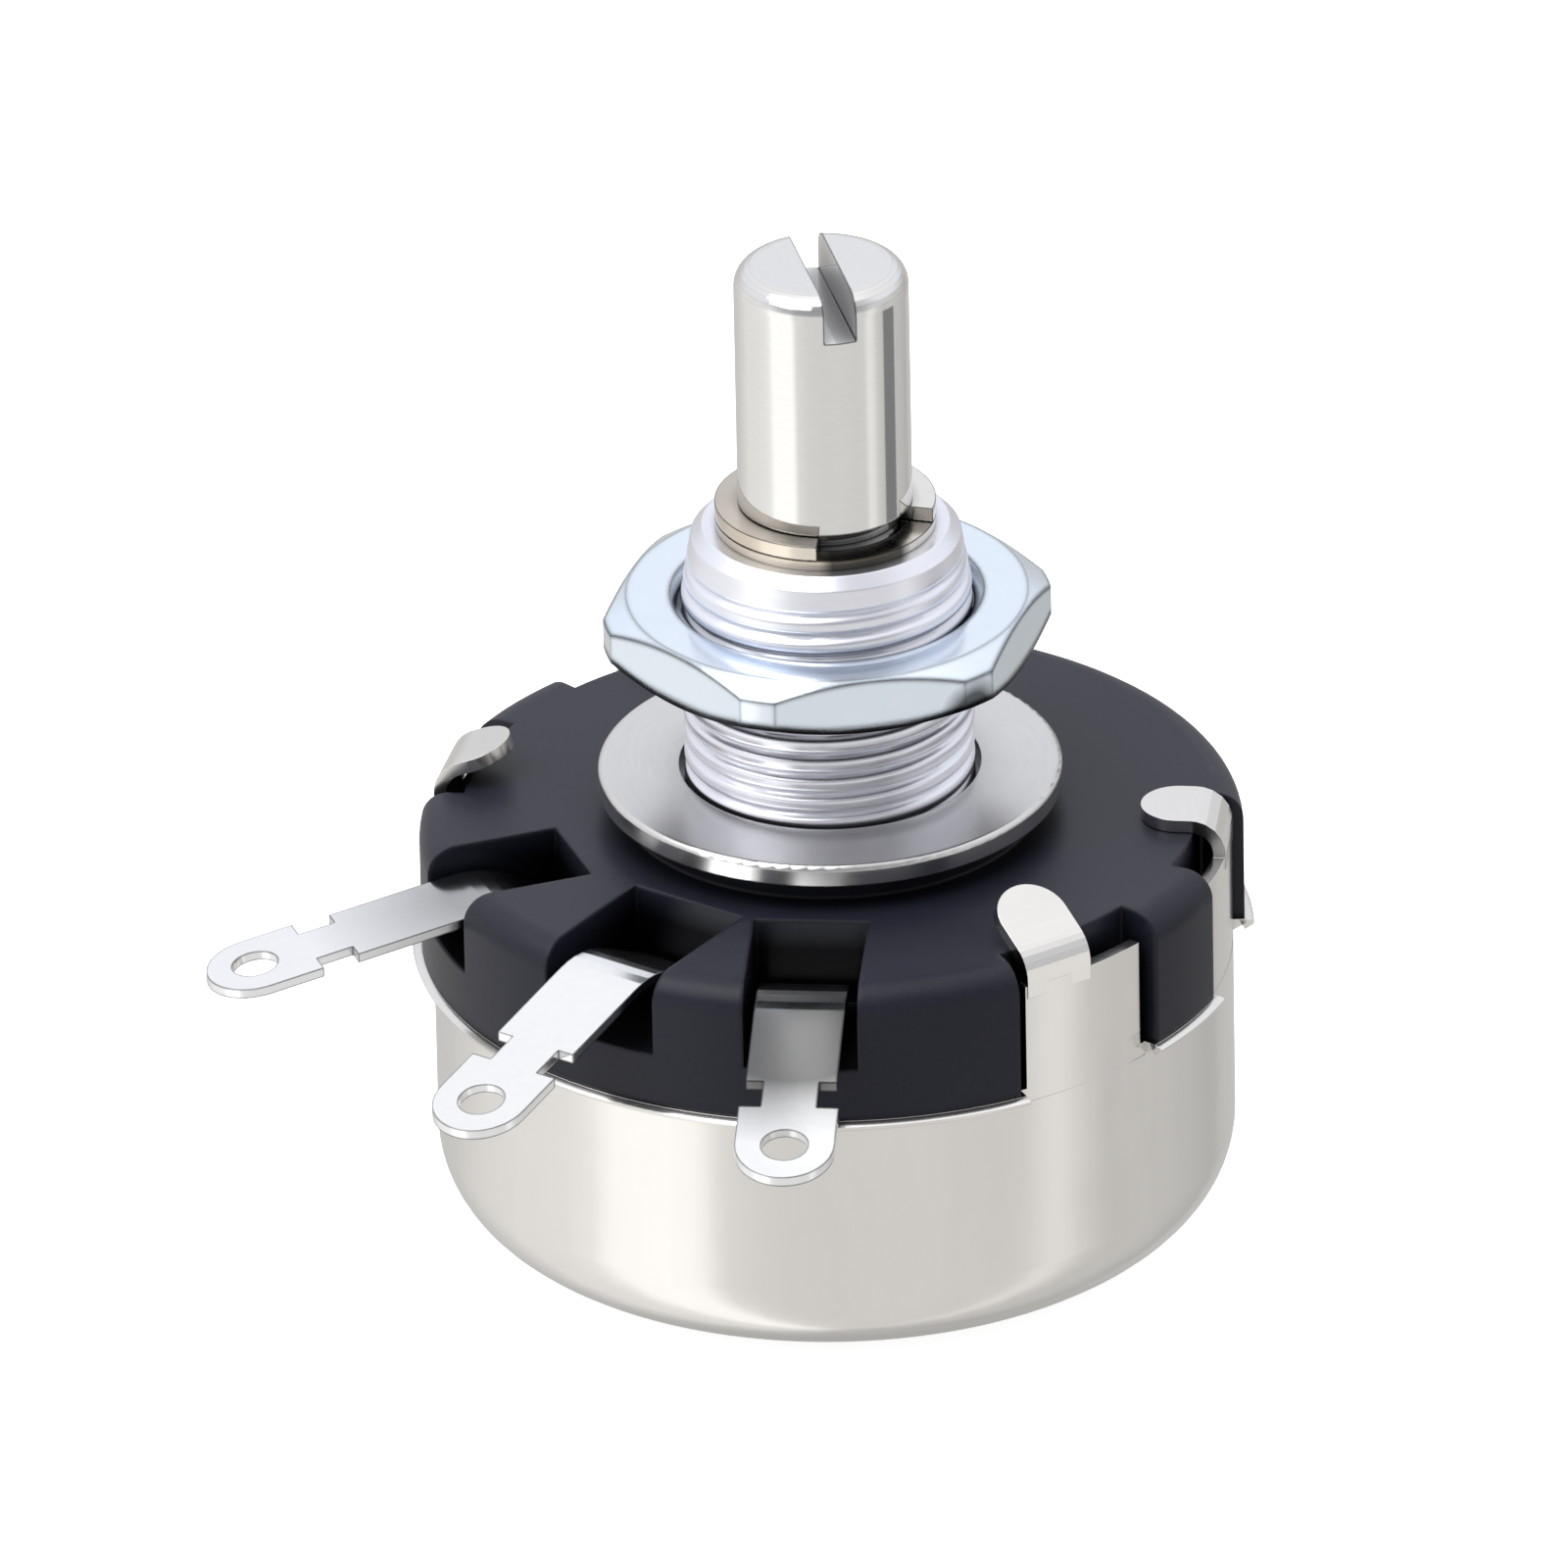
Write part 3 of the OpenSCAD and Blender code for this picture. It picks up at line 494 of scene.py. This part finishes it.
def threaded_bushing():
    """The bushing with its thread: the CAD's own profile, with the groove cut into the barrel."""
    low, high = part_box("bushing")
    stake_z = low.z / MM
    barrel_z = high.z / MM
    seat_r = high.x / MM
    boss_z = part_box("mounting_washer")[0].z / MM
    start = boss_z + THREAD_FROM
    stop = barrel_z - LEAD_EDGE - THREAD_END
    lead_r = THREAD_R - LEAD_DROP
    inside = [(BORE_R, barrel_z), (BORE_R, stake_z), (STAKE_R, stake_z), (STAKE_R, stake_z + STAKE_H),
              (SHANK_R, stake_z + STAKE_H), (SHANK_R, boss_z - SEAT_T), (seat_r, boss_z - SEAT_T),
              (seat_r, boss_z)]
    barrel = [(THREAD_R, boss_z), (THREAD_R, barrel_z - LEAD_H), (lead_r, barrel_z - LEAD_EDGE)]
    rows = [(r, z, False) for r, z in inside]
    rows += [(r, z, True) for r, z in lathe_rows(barrel, PITCH / ROWS_PER_TURN)]
    rows.append((lead_r - LEAD_EDGE, barrel_z, False))
    return lathe_mesh("threaded_bushing", rows, lambda turn, z: thread_cut(turn, z, start, stop))


def rolled_rim(spans):
    """The can's bright rolled edge between the strips: closed arcs, each (middle, half) in degrees."""
    vertices, faces = [], []
    count = len(RIM_SIDE)
    for middle, half in spans:
        first = len(vertices)
        steps = math.ceil(2 * half / RIM_STEP)
        for i in range(steps + 1):
            turn = math.radians(middle - half + 2 * half * i / steps)
            side, front = math.sin(turn) * MM, -math.cos(turn) * MM
            vertices += [((LIP_R + r) * side, (LIP_R + r) * front, (CAN_H + z) * MM) for r, z in RIM_SIDE]
        for i in range(steps):
            a = first + i * count
            faces += [(a + k, a + (k + 1) % count, a + count + (k + 1) % count, a + count + k)
                      for k in range(count)]
        faces.append(tuple(first + k for k in reversed(range(count))))
        faces.append(tuple(first + steps * count + k for k in range(count)))
    return new_object("rolled_rim", vertices, faces)


def studio_world():
    """Soft studio surroundings: a white tent above, and upright bands below that the metal walls mirror."""
    world = bpy.data.worlds.new("studio")
    bpy.context.scene.world = world
    world.use_nodes = True
    nodes = Nodes(world.node_tree)
    way = nodes.add("ShaderNodeTexCoord").outputs["Generated"]
    _, _, height = nodes.separated(way)
    places = sorted((((a + CAMERA_AZIMUTH + 180) % 360) / 360, v) for a, v in BANDS)
    stops = [(place, tuple(v * part / SKY_STRENGTH for part in BAND_TINT)) for place, v in places]
    low = nodes.ramp(round_the_axis(nodes, way), stops)
    front = nodes.compared("DOT_PRODUCT", way, direction(CAMERA_AZIMUTH, 0))
    dimmed = nodes.span(front, 1.0, FRONT_DIM, FRONT_FROM, FRONT_TO)
    upper = nodes.multiplied(nodes.ramp(height, SKY), dimmed)
    ray = nodes.add("ShaderNodeLightPath")
    blend = nodes.add("ShaderNodeMix", data_type="RGBA")
    nodes.link(nodes.span(height, 0.0, 1.0, 0.0, SKY_FADE), blend.inputs["Factor"])
    seen = nodes.span(ray.outputs["Is Diffuse Ray"], 1.0, BAND_DIFFUSE)
    nodes.link(nodes.multiplied(low, seen), blend.inputs["A"])
    nodes.link(upper, blend.inputs["B"])
    lit = nodes.add("ShaderNodeBackground")
    lit.inputs["Strength"].default_value = SKY_STRENGTH
    nodes.link(blend.outputs["Result"], lit.inputs["Color"])
    plain = nodes.add("ShaderNodeBackground")
    plain.inputs["Color"].default_value = (1, 1, 1, 1)
    plain.inputs["Strength"].default_value = BACKDROP_STRENGTH
    choose = nodes.add("ShaderNodeMixShader")
    nodes.link(ray.outputs["Is Camera Ray"], choose.inputs[0])
    nodes.link(lit.outputs[0], choose.inputs[1])
    nodes.link(plain.outputs[0], choose.inputs[2])
    nodes.link(choose.outputs[0], nodes.add("ShaderNodeOutputWorld").inputs["Surface"])


def stage_material(piece, name, kind, **values):
    """Gives a piece of the stage a material of one shader node with the given values."""
    material = bpy.data.materials.new(name)
    material.use_nodes = True
    nodes = Nodes(material.node_tree)
    shader = nodes.add(kind)
    for socket, value in values.items():
        shader.inputs[socket.replace("_", " ")].default_value = value
    nodes.link(shader.outputs[0], nodes.add("ShaderNodeOutputMaterial").inputs["Surface"])
    piece.data.materials.append(material)


def flag():
    """A dark upright card beside the shaft, seen only in reflections, that draws the shaft's dark stripe."""
    turns = [math.radians(CAMERA_AZIMUTH + a) for a in range(FLAG_FROM, FLAG_TO + 1, FLAG_STEP)]
    heights = (FLAG_LOW, FLAG_HIGH)
    vertices = [(FLAG_R * math.sin(a), -FLAG_R * math.cos(a), z) for a in turns for z in heights]
    faces = [(2 * i, 2 * i + 1, 2 * i + 3, 2 * i + 2) for i in range(len(turns) - 1)]
    piece = new_object("flag", vertices, faces)
    piece.visible_camera = False
    piece.visible_diffuse = False
    piece.visible_shadow = False
    stage_material(piece, "dark_card", "ShaderNodeEmission", Color=(*grey(FLAG_GREY), 1))


def floor():
    """A plain pale floor, so bright that it reads as white and keeps only a trace of shadow."""
    a = FLOOR_HALF
    piece = new_object("floor", [(-a, -a, 0), (a, -a, 0), (a, a, 0), (-a, a, 0)], [(0, 1, 2, 3)])
    piece.location.z = -FLOOR_DROP
    piece.visible_glossy = False
    piece.visible_diffuse = False
    stage_material(piece, "white_floor", "ShaderNodeBsdfPrincipled", Base_Color=(*grey(FLOOR_GREY), 1),
                   Roughness=FLOOR_ROUGH, Emission_Color=(1, 1, 1, 1), Emission_Strength=FLOOR_GLOW)


def aimed(name, data, back, distance, roll=0.0):
    """A light or camera at a distance along back from the target, aimed at it and rolled by some degrees."""
    thing = bpy.data.objects.new(name, data)
    turn = (-back).to_track_quat("-Z", "Y").to_matrix() @ Matrix.Rotation(math.radians(roll), 3, "Z")
    thing.rotation_mode = "QUATERNION"
    thing.rotation_quaternion = turn.to_quaternion()
    thing.location = CAMERA_TARGET + back * distance
    bpy.context.scene.collection.objects.link(thing)
    return thing


def key_light():
    """One wide soft light from the upper left."""
    data = bpy.data.lights.new("key", "AREA")
    data.shape = "DISK"
    data.size = KEY_SIZE
    data.energy = KEY_POWER
    aimed("key", data, direction(KEY_AZIMUTH, KEY_ELEVATION), KEY_DISTANCE)


def camera():
    """The photograph's camera."""
    data = bpy.data.cameras.new("camera")
    data.sensor_width = SENSOR_WIDTH
    data.lens = LENS
    data.clip_start = CAMERA_NEAR
    data.clip_end = CAMERA_FAR
    back = direction(CAMERA_AZIMUTH, CAMERA_ELEVATION)
    bpy.context.scene.camera = aimed("camera", data, back, CAMERA_DISTANCE, CAMERA_ROLL)


materials = all_materials()
dress(materials)

bushing = threaded_bushing()
smooth(bushing, materials["bushing"])
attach(bushing, "case")
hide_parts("bushing")

between = (NEAR_STRIP + FAR_STRIP) / 2
half_between = FAR_STRIP - between - STRIP_HALF
rim = rolled_rim([(0, NEAR_STRIP - STRIP_HALF), (180, 180 - FAR_STRIP - STRIP_HALF), (between, half_between),
                  (-between, half_between)])
smooth(rim, materials["can"])
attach(rim, "case")

studio_world()
floor()
flag()
key_light()
camera()
bpy.context.scene.view_settings.view_transform = "Standard"
